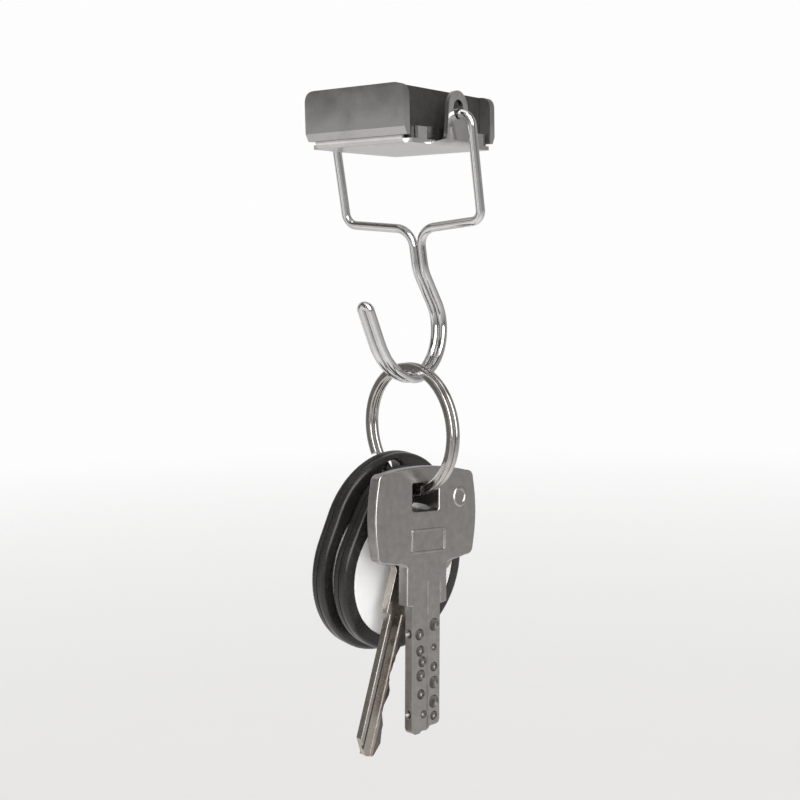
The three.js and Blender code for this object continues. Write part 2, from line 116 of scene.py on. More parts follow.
# The fobs: sizes that both share, then each one's own. Places are heights over the round body's middle.
FOB = {
    "thickness": 4.1, "hole": 3.1, "flare": 1, "flare_depth": 0.5, "seam": 0.1, "edge": 0.95,
    "groove": 0.3,
}
LABEL = {"rim": 3.1, "notch": 4.9, "thickness": 0.4, "depth": 0.55, "gap": 0.1, "edge": 0.12}
COIL_POCKET = {"radius": 13.8, "half": 0.65}
FOBS = {
    "front_fob": {
        "body": "fob_front", "lean": 1.3, "radius": 19, "lobe": 13.8, "lobe_at": 10.4, "hole_at": 19.9,
    },
    "rear_fob": {
        "body": "fob_rear", "lean": 5.7, "radius": 22.1, "lobe": 18.8, "lobe_at": 7.2, "hole_at": 21.7,
    },
}


# ---------------------------------------------------------------- mesh tools
def temporary_object(data):
    """An object that lives only while a shape is worked on."""
    obj = bpy.data.objects.new("temporary", data)
    bpy.context.scene.collection.objects.link(obj)
    return obj


def mesh_of(bm):
    """Turns a bmesh into a mesh and frees it."""
    mesh = bpy.data.meshes.new("temporary")
    bm.to_mesh(mesh)
    bm.free()
    return mesh


def baked(obj):
    """The shape of an object with its modifiers applied, as a new bmesh."""
    mesh = bpy.data.meshes.new_from_object(obj.evaluated_get(bpy.context.evaluated_depsgraph_get()))
    bm = bmesh.new()
    bm.from_mesh(mesh)
    bpy.data.meshes.remove(mesh)
    return bm


def combine(base, tool, operation="DIFFERENCE"):
    """Cuts one closed shape by another, or joins them."""
    body, cutter = temporary_object(mesh_of(base)), temporary_object(mesh_of(tool))
    for obj in (body, cutter):
        obj.data.materials.append(None)
        obj.data.materials.append(None)
    modifier = body.modifiers.new("cut", "BOOLEAN")
    modifier.operation = operation
    modifier.solver = "EXACT"
    modifier.use_self = True
    modifier.object = cutter
    result = baked(body)
    for obj in (body, cutter):
        bpy.data.objects.remove(obj)
    return result


def loft(loops, joined=False):
    """A closed shape through loops of equal length, with end caps or joined into a round."""
    bm = bmesh.new()
    rows = [[bm.verts.new(point) for point in loop] for loop in loops]
    count = len(loops[0])
    pairs = list(zip(rows, rows[1:] + rows[:1]))
    if not joined:
        pairs.pop()
    for row, following in pairs:
        for i in range(count):
            j = (i + 1) % count
            bm.faces.new((row[i], row[j], following[j], following[i]))
    if not joined:
        bm.faces.new(rows[0])
        bm.faces.new(reversed(rows[-1]))
    bmesh.ops.recalc_face_normals(bm, faces=bm.faces)
    return bm


def plate(loops, thickness, edge):
    """A plate in the XZ plane with rounded edges. The first loop is the outline, the rest holes."""
    curve = bpy.data.curves.new("plate", "CURVE")
    curve.dimensions = "2D"
    curve.fill_mode = "BOTH"
    curve.extrude = thickness / 2 - edge
    curve.bevel_depth = edge
    curve.bevel_resolution = 3
    curve.offset = -edge
    for loop in loops:
        spline = curve.splines.new("POLY")
        spline.points.add(len(loop) - 1)
        for point, (x, z) in zip(spline.points, loop):
            point.co = (x, z, 0, 1)
        spline.use_cyclic_u = True
    obj = temporary_object(curve)
    bm = baked(obj)
    bpy.data.objects.remove(obj)
    bmesh.ops.remove_doubles(bm, verts=bm.verts, dist=1e-4)
    bm.transform(Matrix.Rotation(math.pi / 2, 4, "X"))
    bmesh.ops.recalc_face_normals(bm, faces=bm.faces)
    return bm


def block(x, y, z):
    """A box, given by its range along each axis."""
    low, high = Vector((x[0], y[0], z[0])), Vector((x[1], y[1], z[1]))
    bm = bmesh.new()
    bmesh.ops.create_cube(bm, size=1, matrix=Matrix.LocRotScale((low + high) / 2, None, high - low))
    return bm


def circle(radius, y, at=0, count=64):
    """A loop round a point on the Z axis, in the plane of the given y."""
    angles = [2 * math.pi * i / count for i in range(count)]
    return [(radius * math.cos(a), y, at + radius * math.sin(a)) for a in angles]


def arc(centre, radius, start, end, steps):
    """Points of an arc in a plane, in degrees."""
    angles = [math.radians(start + (end - start) * i / steps) for i in range(steps + 1)]
    return [(centre[0] + radius * math.cos(a), centre[1] + radius * math.sin(a)) for a in angles]


def quadratic(start, control, end, steps=10):
    """Points of a curve that leaves the start towards the control point and ends coming from it."""
    points = []
    for i in range(steps + 1):
        t = i / steps
        point = Vector(start) * (1 - t) ** 2
        point += Vector(control) * 2 * t * (1 - t)
        point += Vector(end) * t * t
        points.append((point.x, point.y))
    return points


def rounded_rectangle(x0, x1, z0, z1, radius, steps=6):
    """A rectangle with round corners, clockwise, as a hole of a plate runs."""
    points = []
    for cx, cz, start in ((x1 - radius, z1 - radius, 90), (x1 - radius, z0 + radius, 0),
                          (x0 + radius, z0 + radius, -90), (x0 + radius, z1 - radius, -180)):
        points += arc((cx, cz), radius, start, start - 90, steps)
    return points


def without_repeats(points):
    """A closed outline without the points that lie on the one before them."""
    kept = [points[0]]
    for point in points[1:]:
        if (Vector(point) - Vector(kept[-1])).length > SAME_POINT:
            kept.append(point)
    if (Vector(kept[0]) - Vector(kept[-1])).length < SAME_POINT:
        kept.pop()
    return kept


def merged(shapes, material_index=0):
    """Several shapes in one bmesh, whose cuts take one of the piece's materials."""
    total = bmesh.new()
    for shape in shapes:
        total.from_mesh(mesh_of(shape))
    for face in total.faces:
        face.material_index = material_index
    return total


def section_sweep(points, section, hints=None):
    """Carries a flat section along a line of points, turned by the hints or as little as it can."""
    loops = []
    normal = Vector((0, 1, 0))
    for i, point in enumerate(points):
        tangent = (points[min(i + 1, len(points) - 1)] - points[max(i - 1, 0)]).normalized()
        normal = Vector(hints[i]) if hints else normal
        normal = (normal - tangent * normal.dot(tangent)).normalized()
        binormal = tangent.cross(normal)
        loops.append([point + normal * a + binormal * b for a, b in section])
    return loft(loops)


def bent_wire(corners, step_angle):
    """The points of a wire bent at each of its corners, given as (position, bend radius)."""
    points = [corners[0][0]]
    for i in range(1, len(corners) - 1):
        corner, radius = corners[i]
        back = (corners[i - 1][0] - corner).normalized()
        onward = (corners[i + 1][0] - corner).normalized()
        turn = math.pi - back.angle(onward)
        inward = (back + onward).normalized()
        centre = corner + inward * (radius / math.cos(turn / 2))
        spoke = corner + back * (radius * math.tan(turn / 2)) - centre
        steps = max(3, math.ceil(turn / step_angle))
        for k in range(steps + 1):
            angle = turn * k / steps
            points.append(centre + spoke * math.cos(angle) - back * (radius * math.sin(angle)))
    points.append(corners[-1][0])
    return points


# ---------------------------------------------------------------- materials
# Most of a noise texture's values lie inside this span.
NOISE_SPAN = (0.3, 0.7)
PLASTIC_SPAN = (0.35, 0.65)
# Fine scratches, each a noise drawn out along one direction and turned a little.
SCRATCHES = [
    {"scale": 2.2, "stretch": (0.15, 3, 3), "turn": (0.5, 0.2, 0.4)},
    {"scale": 2.6, "stretch": (3, 3, 0.12), "turn": (0.15, 0.25, 0)},
]
# Painted shade on the pole plates: from from_z up to to_z the colour turns towards the darker top tone
# by the amount, and a slow cloud drifts it either way.
PLATE_SHADE = {"from_z": -8, "to_z": 0.5, "amount": 0.9, "cloud": 0.25}


class Finish:
    """One procedural material and a short way to add its nodes. Textures run in millimetres."""

    def __init__(self, name, **sockets):
        self.material = bpy.data.materials.new(name)
        self.material.use_nodes = True
        self.tree = self.material.node_tree
        self.shader = self.tree.nodes["Principled BSDF"]
        for key, value in sockets.items():
            self.shader.inputs[key.replace("_", " ")].default_value = value
        coordinates = self.add("ShaderNodeTexCoord")
        self.millimetres = self.add("ShaderNodeMapping", Scale=(1 / MM, 1 / MM, 1 / MM))
        self.link(coordinates.outputs["Object"], self.millimetres.inputs["Vector"])

    def add(self, kind, **inputs):
        node = self.tree.nodes.new(kind)
        for key, value in inputs.items():
            node.inputs[key.replace("_", " ")].default_value = value
        return node

    def link(self, output, socket):
        self.tree.links.new(output, socket)

    def noise(self, scale, detail, stretch=(1, 1, 1), turn=(0, 0, 0)):
        mapping = self.add("ShaderNodeMapping", Scale=stretch, Rotation=turn)
        self.link(self.millimetres.outputs["Vector"], mapping.inputs["Vector"])
        noise = self.add("ShaderNodeTexNoise", Scale=scale, Detail=detail, Roughness=0.6)
        self.link(mapping.outputs["Vector"], noise.inputs["Vector"])
        return noise.outputs["Fac"]

    def remap(self, value, span, low, high):
        """Maps a span of values onto low to high."""
        ends = {"From_Min": span[0], "From_Max": span[1], "To_Min": low, "To_Max": high}
        node = self.add("ShaderNodeMapRange", **ends)
        self.link(value, node.inputs["Value"])
        return node.outputs["Result"]

    def colour(self, factor, first, second):
        node = self.add("ShaderNodeMix")
        node.data_type = "RGBA"
        node.inputs["A"].default_value = (*first, 1)
        node.inputs["B"].default_value = (*second, 1)
        self.link(factor, node.inputs["Factor"])
        self.link(node.outputs["Result"], self.shader.inputs["Base Color"])

    def roughness(self, value):
        self.link(value, self.shader.inputs["Roughness"])

    def bump(self, heights, distance):
        """Stacks bumps, each (height, strength), of one depth in millimetres."""
        normal = None
        for height, strength in heights:
            node = self.add("ShaderNodeBump", Strength=strength, Distance=distance * MM)
            self.link(height, node.inputs["Height"])
            if normal:
                self.link(normal, node.inputs["Normal"])
            normal = node.outputs["Normal"]
        self.link(normal, self.shader.inputs["Normal"])


def grey(value, warmth=0.0):
    """A grey, with its red raised and its blue lowered by the warmth."""
    return (value * (1 + warmth), value, value * (1 - warmth))


def metal(name, light, dark, rough, blotch=0.25, grain=9, scratches=0.12, depth=0.01):
    """Metal that drifts between two tones, with fine grain and crossing scratches."""
    finish = Finish(name, Metallic=1)
    finish.colour(finish.remap(finish.noise(blotch, 5), NOISE_SPAN, 0, 1), light, dark)
    finish.roughness(finish.remap(finish.noise(grain / 6, 6), NOISE_SPAN, *rough))
    heights = [finish.noise(grain, 3)]
    heights += [finish.noise(detail=3, **scratch) for scratch in SCRATCHES]
    finish.bump([(height, scratches) for height in heights], depth)
    return finish.material


def chrome(name, tone, rough):
    """Polished plating: clean, with only a slow drift in its gloss."""
    finish = Finish(name, Metallic=1)
    drift = finish.remap(finish.noise(0.3, 3), NOISE_SPAN, 0, 1)
    finish.colour(drift, grey(tone), grey(tone * 0.88, 0.01))
    finish.roughness(finish.remap(finish.noise(0.6, 3), NOISE_SPAN, *rough))
    return finish.material


def satin_plate(name, lower, painted_shade_top, rough):
    """Satin steel with painted shade that darkens it towards the top edge of a plate, where it meets the
    shelf.
    """
    finish = Finish(name, Metallic=1)
    axes = finish.add("ShaderNodeSeparateXYZ")
    finish.link(finish.millimetres.outputs["Vector"], axes.inputs["Vector"])
    cloud = finish.add("ShaderNodeMath")
    cloud.operation = "ADD"
    heights = (PLATE_SHADE["from_z"], PLATE_SHADE["to_z"])
    # Painted shade: the colour darkens with height towards the plate's top edge.
    shade = finish.remap(axes.outputs["Z"], heights, 0, PLATE_SHADE["amount"])
    drift = PLATE_SHADE["cloud"]
    finish.link(shade, cloud.inputs[0])
    finish.link(finish.remap(finish.noise(0.16, 4), NOISE_SPAN, -drift, drift), cloud.inputs[1])
    finish.colour(cloud.outputs["Value"], lower, painted_shade_top)
    finish.roughness(finish.remap(finish.noise(2, 5), NOISE_SPAN, *rough))
    finish.bump([(finish.noise(11, 3), 0.16)], 0.015)
    return finish.material


def plastic(name, light, dark, rough, texture, bump):
    """Moulded or ground material that does not conduct, with a fine even texture."""
    finish = Finish(name)
    finish.colour(finish.remap(finish.noise(0.3, 4), PLASTIC_SPAN, 0, 1), light, dark)
    finish.roughness(finish.remap(finish.noise(0.8, 5), NOISE_SPAN, *rough))
    finish.bump([(finish.noise(texture, 2), bump)], 0.02)
    return finish.material


FINISHES = {
    # The pole plates' darker top colour is painted shade, not a tone of the steel.
    "pole_steel": satin_plate(
        "satin_plated_steel", lower=grey(0.46, 0.02), painted_shade_top=grey(0.2, 0.03), rough=(0.34, 0.44)),
    "plated_sheet": metal(
        "bright_plated_sheet", grey(0.62, 0.02), grey(0.5, 0.03), rough=(0.14, 0.26),
        blotch=0.2, grain=6, scratches=0.06),
    "ferrite": plastic(
        "ferrite_magnet", grey(0.03, 0.08), grey(0.018, 0.1), rough=(0.55, 0.8), texture=4, bump=0.4),
    "black_plastic": plastic(
        "black_plastic", grey(0.022, 0.04), grey(0.014, 0.08), rough=(0.2, 0.34), texture=7, bump=0.08),
    "chrome_wire": chrome("chromed_wire", tone=0.66, rough=(0.07, 0.13)),
    "ring_steel": metal(
        "ring_steel", grey(0.52, 0.03), grey(0.42, 0.06), rough=(0.14, 0.24),
        blotch=0.4, grain=3, scratches=0.02, depth=0.004),
    "key_nickel": metal(
        "worn_nickel", grey(0.48, 0.03), grey(0.38, 0.05), rough=(0.28, 0.36),
        blotch=0.6, grain=9, scratches=0.07),
    "key_nickel_warm": metal(
        "worn_nickel_on_brass", grey(0.5, 0.05), grey(0.4, 0.13), rough=(0.2, 0.3),
        blotch=0.35, grain=6, scratches=0.08),
    # Painted shade: a darker metal laid on the keys' pits and deeper grooves, standing in for the shade
    # in those hollows.
    "key_cut_painted_shade": metal(
        "cut_painted_shade", grey(0.24, 0.05), grey(0.15, 0.1), rough=(0.26, 0.42),
        blotch=1.2, grain=8, scratches=0.1),
    "white_label": plastic(
        "white_label", grey(0.88), grey(0.84), rough=(0.3, 0.42), texture=9, bump=0.05),
    "copper_coil": metal("copper_coil", (0.72, 0.32, 0.16), (0.6, 0.24, 0.1), rough=(0.25, 0.4)),
    "chip_epoxy": plastic(
        "chip_epoxy", grey(0.012), grey(0.008), rough=(0.4, 0.55), texture=10, bump=0.1),
}


# ---------------------------------------------------------------- placing pieces
SHARP_ANGLE = 32
EVEN_WEIGHT = 90


def even_faces(obj, keep_sharp):
    """Shades flat faces flat where they run into rounded edges."""
    weighted = obj.modifiers.new("even_faces", "WEIGHTED_NORMAL")
    weighted.keep_sharp = keep_sharp
    weighted.weight = EVEN_WEIGHT


def piece(bm, node, place, body, slot, angle=SHARP_ANGLE, second=None):
    """Makes a shape drawn in millimetres stand for a CAD node, on the node's body.

    Faces that meet at more than the angle stay sharp. Cuts can take a second finish.
    """
    bm.transform(Matrix.Scale(MM, 4) @ place)
    bmesh.ops.recalc_face_normals(bm, faces=bm.faces)
    mesh = bpy.data.meshes.new(f"{node}_fine")
    bm.to_mesh(mesh)
    bm.free()
    obj = bpy.data.objects.new(f"{node}_fine", mesh)
    bpy.context.scene.collection.objects.link(obj)
    mesh.materials.append(FINISHES[slot])
    if second:
        mesh.materials.append(FINISHES[second])
    mesh.shade_smooth()
    mesh.set_sharp_from_angle(angle=math.radians(angle))
    even_faces(obj, keep_sharp=True)
    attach(obj, body)
    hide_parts(node)
    return obj


def joint_point(name):
    """A joint's place in millimetres."""
    return Vector(joints[name]["pos_m"]) / MM


def hung_from(name, lean):
    """The place of a plate that swings on a joint: its face looks along the joint's axis."""
    axis = Vector(joints[name]["axis"])
    azimuth = math.atan2(axis.x, -axis.y)
    tilt = math.asin(axis.z)
    turns = [(azimuth, "Z"), (-tilt, "X"), (-math.radians(lean), "Y")]
    place = Matrix.Translation(joint_point(name))
    for angle, direction in turns:
        place = place @ Matrix.Rotation(angle, 4, direction)
    return place


# ---------------------------------------------------------------- hook
def frame_point(x, reach):
    """A point of the hook's wire frame, at a reach from the hinge along the leaning frame."""
    hinge = joint_point("hook_swing")
    return Vector((x, reach * math.sin(HOOK_SWING), hinge.z - reach * math.cos(HOOK_SWING)))


def hook_half(side):
    """The corners of one half of the wire, from its hinge to the hook's tip, with bend radii."""
    x = HOOK_CENTRE + side * HOOK_PAIR
    top, bottom = HOOK_LEGS[side]
    inner = frame_point(x, HOOK_BARS["inner"])
    inner.y = HOOK_BARS["inner_y"]
    corners = [
        (frame_point(side * HOOK_END, 0), 0),
        (frame_point(top, 0), HOOK_CORNER_BEND),
        (frame_point(bottom, HOOK_BARS["outer"]), HOOK_CORNER_BEND),
        (inner, HOOK_INNER_BEND),
    ]
    return corners + [(Vector((x, y, z)), bend) for (y, z), bend in HOOK_BOWL]


def make_hook():
    near, far = hook_half(1), hook_half(-1)[::-1]
    tips = [Vector((HOOK_CENTRE + side * HOOK_PAIR, *HOOK_TIP)) for side in (1, -1)]
    lead = (tips[0] - near[-1][0]).normalized() * HOOK_PAIR
    corners = near + [(tip + lead, HOOK_TIP_BEND) for tip in tips] + far
    points = bent_wire(corners, math.pi / 30)
    section = [(x, z) for x, _, z in circle(HOOK_WIRE, 0, count=36)]
    piece(section_sweep(points, section), "wire_hook", Matrix(), "hook", "chrome_wire", HOOK_SHARP)


# ---------------------------------------------------------------- split ring
def make_ring():
    """Two turns of flat wire, side by side, that cross over within one step."""
    low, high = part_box("split_ring")
    centre = joint_point("ring_swing")
    centre.z = (low.z + high.z) / 2 / MM
    axis = joints["ring_swing"]["axis"]
    place = Matrix.Translation(centre) @ Matrix.Rotation(math.atan2(-axis[0], axis[1]), 4, "Z")
    total = 720 - RING_STEP - RING_END_GAP
    layer = (RING["turn"] + RING["gap"]) / 2
    count = total // 2
    points, spokes = [], []
    for i in range(count + 1):
        degrees = total * i / count
        angle = math.radians(RING_START + degrees)
        t = min(max((degrees - 360 + RING_STEP) / RING_STEP, 0), 1)
        spoke = Vector((math.cos(angle), 0, math.sin(angle)))
        spokes.append(spoke)
        points.append(spoke * RING["middle"] + Vector((0, layer * (1 - 2 * t * t * (3 - 2 * t)), 0)))
    w, h = RING["radial"] / 2, RING["turn"] / 2
    section = rounded_rectangle(-w, w, -h, h, RING["corner"], 5)
    solid = section_sweep(points, section, spokes)
    piece(solid, "split_ring", place, "ring", "ring_steel", RING_SHARP)


# ---------------------------------------------------------------- keys
def key_outline(key, blade):
    """The bow, neck and blade, anticlockwise. The blade's points run down its left side first."""
    axis, top, bulge, arch = key["axis"], key["top"], key["bulge"], key["arch"]
    width, height = key["bow"]
    half = width / 2 - bulge
    side = width / 2 + bulge
    high, low = top - arch, top - height + arch
    middle = (high + low) / 2
    right_top, left_top, left_low, right_low = key["corners"]
    left, right = axis - half, axis + half
    points = quadratic((right - right_top, high), (axis, top + arch), (left + left_top, high), 20)
    points += quadratic((left + left_top, high), (left, high), (left, high - left_top))
    points += quadratic((left, high - left_top), (axis - side, middle), (left, low + left_low), 16)
    points += quadratic((left, low + left_low), (left, low), (left + left_low, low))
    base = quadratic((left + left_low, low), (axis, low - 2 * arch), (right - right_low, low), 40)
    neck_left, neck_right = axis - key["neck"] / 2, axis + key["neck"] / 2
    out, clearance = NECK_ROUND["out"], NECK_ROUND["clearance"]
    root = min(z for x, z in base if x < neck_left) if neck_left > left + left_low else low
    dip, foot = root - NECK_ROUND["dip"], root - NECK_ROUND["down"]
    points += [(x, z) for x, z in base if x < neck_left - clearance]
    points += [(neck_left - out, dip), (neck_left, foot), (neck_left, key["neck_end"])]
    points += [(axis + x, z) for x, z in blade]
    points += [(neck_right, key["neck_end"]), (neck_right, foot), (neck_right + out, dip)]
    points += [(x, z) for x, z in base if x > neck_right + clearance]
    points += quadratic((right - right_low, low), (right, low), (right, low + right_low))
    points += quadratic((right, low + right_low), (axis + side, middle), (right, high - right_top), 16)
    points += quadratic((right, high - right_top), (right, high), (right - right_top, high))
    return without_repeats(points)


def key_blank(key, blade):
    """A key before its face is milled."""
    hole = rounded_rectangle(*key["hole"], key["hole_corner"])
    return plate([key_outline(key, blade), without_repeats(hole)], key["thickness"], key["edge"])


def channel(key, x0, x1, depth, start, face):
    """A cutter for a milled channel down one face, the same on the other face turned about."""
    axis, half = key["axis"], key["thickness"] / 2
    x = sorted((axis + face * x0, axis + face * x1))
    y = sorted((-face * (half - depth), -face * (half + OVERCUT)))
    return block(x, y, (key["tip"] - OVERCUT, start))


def pit(key, x, z, radius, face):
    """A cutter for a drilled pit with sloping walls and a small flat floor."""
    half = key["thickness"] / 2
    axis = key["axis"] + face * x
    loops = []
    for share, height in PIT_PROFILE:
        ring = circle(radius * share, -face * (half + height), z, PIT_SIDES)
        loops.append([(axis + px, py, pz) for px, py, pz in ring])
    return loft(loops)


def side_pit(key, z, radius, face):
    """A cutter for a pit in the narrow side of the blade."""
    loops = []
    for share, height in SIDE_PIT_PROFILE:
        side = key["axis"] - face * (key["blade"] / 2 + height)
        loops.append([(side, px, pz) for px, _, pz in circle(radius * share, 0, z, PIT_SIDES)])
    return loft(loops)


# The first key's blade, from its left shoulder round the tip, and the pits of its face as
# (x, z, radius) from the blade's middle line and the key's pivot.
DIMPLE_TIP = [(-4.2, 1.3), (-3.9, 0.45), (-3.1, 0), (-1.8, 0.1), (-1.3, 0.6), (0.2, 0.5), (0.7, 0.9)]
DIMPLE_TIP += [(1.3, 1.3), (3.2, 1.45), (3.9, 1.7), (4.2, 2.4)]
LEFT_PITS = [(-2, -32, 1.3), (-1.8, -35.7, 1.25), (-1.1, -38.2, 1.25), (-1.6, -41.2, 1.35)]
LEFT_PITS += [(-1.5, -45.4, 1.15), (-0.7, -50, 0.9)]
RIGHT_PITS = [(2.45, -30.3, 1.55), (2.45, -35.4, 0.85), (2.45, -39.8, 1.15), (2.45, -43.3, 1.5)]
RIGHT_PITS += [(2.45, -47.6, 1.55), (2.45, -50.8, 1.1)]
SIDE_PITS = [(-31.8, 1.15), (-49.7, 1.05)]
# The milled channels of both sides as (from x, to x, depth), and where they start.
CHANNELS = [(-4.3, 0.45, 0.28), (0.75, 4.3, 0.4)]
CHANNEL_START = -20.2
DIMPLE_SHOULDER = 0.4
RAISED_RING = {"x": 9.7, "z": -1.9, "radius": 1.65, "tall": 1.15, "wire": 0.5, "spread": 1.1}
RAISED_FRAME = {
    "x": 0.1, "z": -11.2, "width": 10.2, "height": 5.4, "corner": 0.6, "stroke": 0.5,
    "inner_corner": 0.3, "rise": 0.3, "edge": 0.1,
}


def make_dimple_key():
    key = DIMPLE_KEY
    half, shoulder = key["blade"] / 2, key["neck_end"] - DIMPLE_SHOULDER
    tip = [(x, key["tip"] + z) for x, z in DIMPLE_TIP]
    solid = key_blank(key, [(-half, shoulder)] + tip + [(half, shoulder)])
    for shape in (raised_ring(key, **RAISED_RING), raised_frame(key, **RAISED_FRAME)):
        solid = combine(solid, shape, "UNION")
    channels, pits = [], []
    for face in (1, -1):
        channels += [channel(key, x0, x1, depth, CHANNEL_START, face) for x0, x1, depth in CHANNELS]
        pits += [pit(key, x, z, radius, face) for x, z, radius in LEFT_PITS + RIGHT_PITS]
        pits += [side_pit(key, z, radius, face) for z, radius in SIDE_PITS]
    solid = combine(solid, merged(channels))
    # The pits take the darker second finish, which paints the shade in them.
    solid = combine(solid, merged(pits, 1))
    place = hung_from("dimple_key_swing", key["lean"])
    piece(solid, "dimple_key", place, "key_dimple", "key_nickel", second="key_cut_painted_shade")


def raised_ring(key, x, z, radius, tall, wire, spread):
    """A round moulding that stands a little proud of the bow's face."""
    middle = Vector((x, -key["thickness"] / 2 + wire / 2, z))
    loops = []
    for degrees in range(0, 360, 15):
        across = Vector((math.cos(math.radians(degrees)), 0, math.sin(math.radians(degrees))))
        centre = middle + Vector((across.x * radius, 0, across.z * radius * tall))
        loop = []
        for out, _, up in circle(1, 0, count=12):
            loop.append(centre + across * (wire * spread * out) + Vector((0, wire * up, 0)))
        loops.append(loop)
    return loft(loops, joined=True)


def raised_frame(key, x, z, width, height, corner, stroke, inner_corner, rise, edge):
    """A plain rectangular border, slightly proud of the bow's face."""
    loops = []
    for inset, radius in ((0, corner), (stroke, inner_corner)):
        half_width, half_height = width / 2 - inset, height / 2 - inset
        sides = (x - half_width, x + half_width, z - half_height, z + half_height)
        loops.append(without_repeats(rounded_rectangle(*sides, radius)))
    loops[0].reverse()
    bm = plate(loops, 2 * rise, edge)
    bm.transform(Matrix.Translation((0, -key["thickness"] / 2, 0)))
    return bm


# The second key's cuts as (height above its tip, depth), with a short flat at each.
CUTS = [(6, 0.9), (9.9, 2.1), (13.8, 1.2), (17.7, 2.6), (21.6, 1.7), (25.5, 0.8)]
CUT_FLAT = 1.1
CUT_TIP = [(-3.4, 3.6), (-1, 0.15), (-0.6, 0), (1.4, 0), (1.8, 0.3), (3, 3)]
CUT_SHOULDER = {"side": 0.3, "edge": 1.5, "channels": 0.2}
# Milled channels as (from x, to x, depth): shallow bands in the key's own bright finish, and deeper
# grooves made dark with painted shade.
CUT_BANDS = [(-1.9, 0.3, 0.22)]
CUT_GROOVES = [(-2.45, -1.85, 0.6), (0.95, 4.5, 0.5)]


def make_cut_key():
    key = CUT_KEY
    tip, half, neck_end = key["tip"], key["blade"] / 2, key["neck_end"]
    shoulder = neck_end - CUT_SHOULDER["side"]
    blade = [(-half, shoulder)] + [(x, tip + z) for x, z in CUT_TIP]
    for z, depth in CUTS:
        blade += [(half - depth, tip + z), (half - depth, tip + z + CUT_FLAT)]
    blade += [(half, neck_end - CUT_SHOULDER["edge"]), (half, shoulder)]
    solid = key_blank(key, blade)
    start = neck_end + CUT_SHOULDER["channels"]
    # The bands keep the key's finish, and the grooves take the darker second finish that paints the
    # shade in them.
    for index, cuts in enumerate((CUT_BANDS, CUT_GROOVES)):
        channels = []
        for face in (1, -1):
            channels += [channel(key, x0, x1, depth, start, face) for x0, x1, depth in cuts]
        solid = combine(solid, merged(channels, index))
    place = hung_from("cut_key_swing", key["lean"])
    piece(solid, "cut_key", place, "key_cut", "key_nickel_warm", second="key_cut_painted_shade")


# ---------------------------------------------------------------- fobs
def fob_loop(size, inset, y):
    """The fob's outline: a round body with the smaller round lobe that holds the ring above it."""
    meet = math.degrees(math.asin((size["radius"] - size["lobe"]) / size["lobe_at"]))
    lobe = arc((0, size["lobe_at"]), size["lobe"] - inset, meet, 180 - meet, 40)
    body = arc((0, 0), size["radius"] - inset, 180 - meet, 360 + meet, 80)
    return [(x, y, z) for x, z in lobe[:-1] + body[:-1]]


def label_outline(size, gap):
    """A disc with a round bite out of its top, where the ring's hole is."""
    radius, notch, at = size["radius"] - LABEL["rim"] - gap, LABEL["notch"] + gap, size["hole_at"]
    wide = math.degrees(math.acos((radius ** 2 + at ** 2 - notch ** 2) / (2 * radius * at)))
    bite = math.degrees(math.acos((notch ** 2 + at ** 2 - radius ** 2) / (2 * notch * at)))
    rim = arc((0, 0), radius, 90 + wide, 450 - wide, 90)
    return rim[:-1] + arc((0, at), notch, 270 + bite, 270 - bite, 16)[:-1]


def fob_shell(size):
    """One half of a fob, its face towards -Y, with a groove where it meets the other half."""
    half, edge, groove = FOB["thickness"] / 2, FOB["edge"], FOB["groove"]
    profile = [(groove, FOB["seam"] / 2), (groove * 0.3, groove * 0.45), (0, groove)]
    profile += [(0, half - edge)]
    for i in range(1, 9):
        angle = math.radians(90 * i / 8)
        profile.append((edge * (1 - math.cos(angle)), half - edge + edge * math.sin(angle)))
    solid = loft([fob_loop(size, inset, -y) for inset, y in profile])
    recess = plate([label_outline(size, 0)], LABEL["depth"] + OVERCUT, 0)
    recess.transform(Matrix.Translation((0, -(half - LABEL["depth"] / 2 + OVERCUT / 2), 0)))
    deep = COIL_POCKET["half"]
    pocket = loft([circle(COIL_POCKET["radius"], y) for y in (-deep, deep)])
    narrow, wide = FOB["hole"], FOB["hole"] + FOB["flare"]
    inner, outer = half - FOB["flare_depth"], half + FOB["flare_depth"]
    steps = [(wide, outer), (narrow, inner), (narrow, -inner), (wide, -outer)]
    hole = loft([circle(radius, y, size["hole_at"]) for radius, y in steps])
    for cutter in (recess, pocket, hole):
        solid = combine(solid, cutter)
    return solid


def fob_label(size):
    """The disc that lies in a shell's recess."""
    label = plate([label_outline(size, LABEL["gap"])], LABEL["thickness"], LABEL["edge"])
    face = FOB["thickness"] / 2 - LABEL["depth"] + LABEL["gap"] / 2
    label.transform(Matrix.Translation((0, -(face + LABEL["thickness"] / 2), 0)))
    return label


def make_fob(name, size):
    body = size["body"]
    place = hung_from(f"{name}_swing", size["lean"]) @ Matrix.Translation((0, 0, -size["hole_at"]))
    for side, turn in (("front", 0), ("rear", math.pi)):
        turned = place @ Matrix.Rotation(turn, 4, "Z")
        piece(fob_shell(size), f"{name}_{side}_shell", turned, body, "black_plastic")
        piece(fob_label(size), f"{name}_{side}_label", turned, body, "white_label")


# ---------------------------------------------------------------- kept CAD nodes
# Each node's finish and the width of its eased edges.
KEPT = {
    "pole_plate_front": ("pole_steel", 0.35), "pole_plate_rear": ("pole_steel", 0.35),
    "cradle": ("plated_sheet", 0.14), "magnet_block": ("ferrite", 0.25),
    "magnet_spacer": ("black_plastic", 0.2), "front_fob_antenna": ("copper_coil", 0),
    "rear_fob_antenna": ("copper_coil", 0), "front_fob_chip": ("chip_epoxy", 0.05),
    "rear_fob_chip": ("chip_epoxy", 0.05),
}
EASED_ANGLE = 35


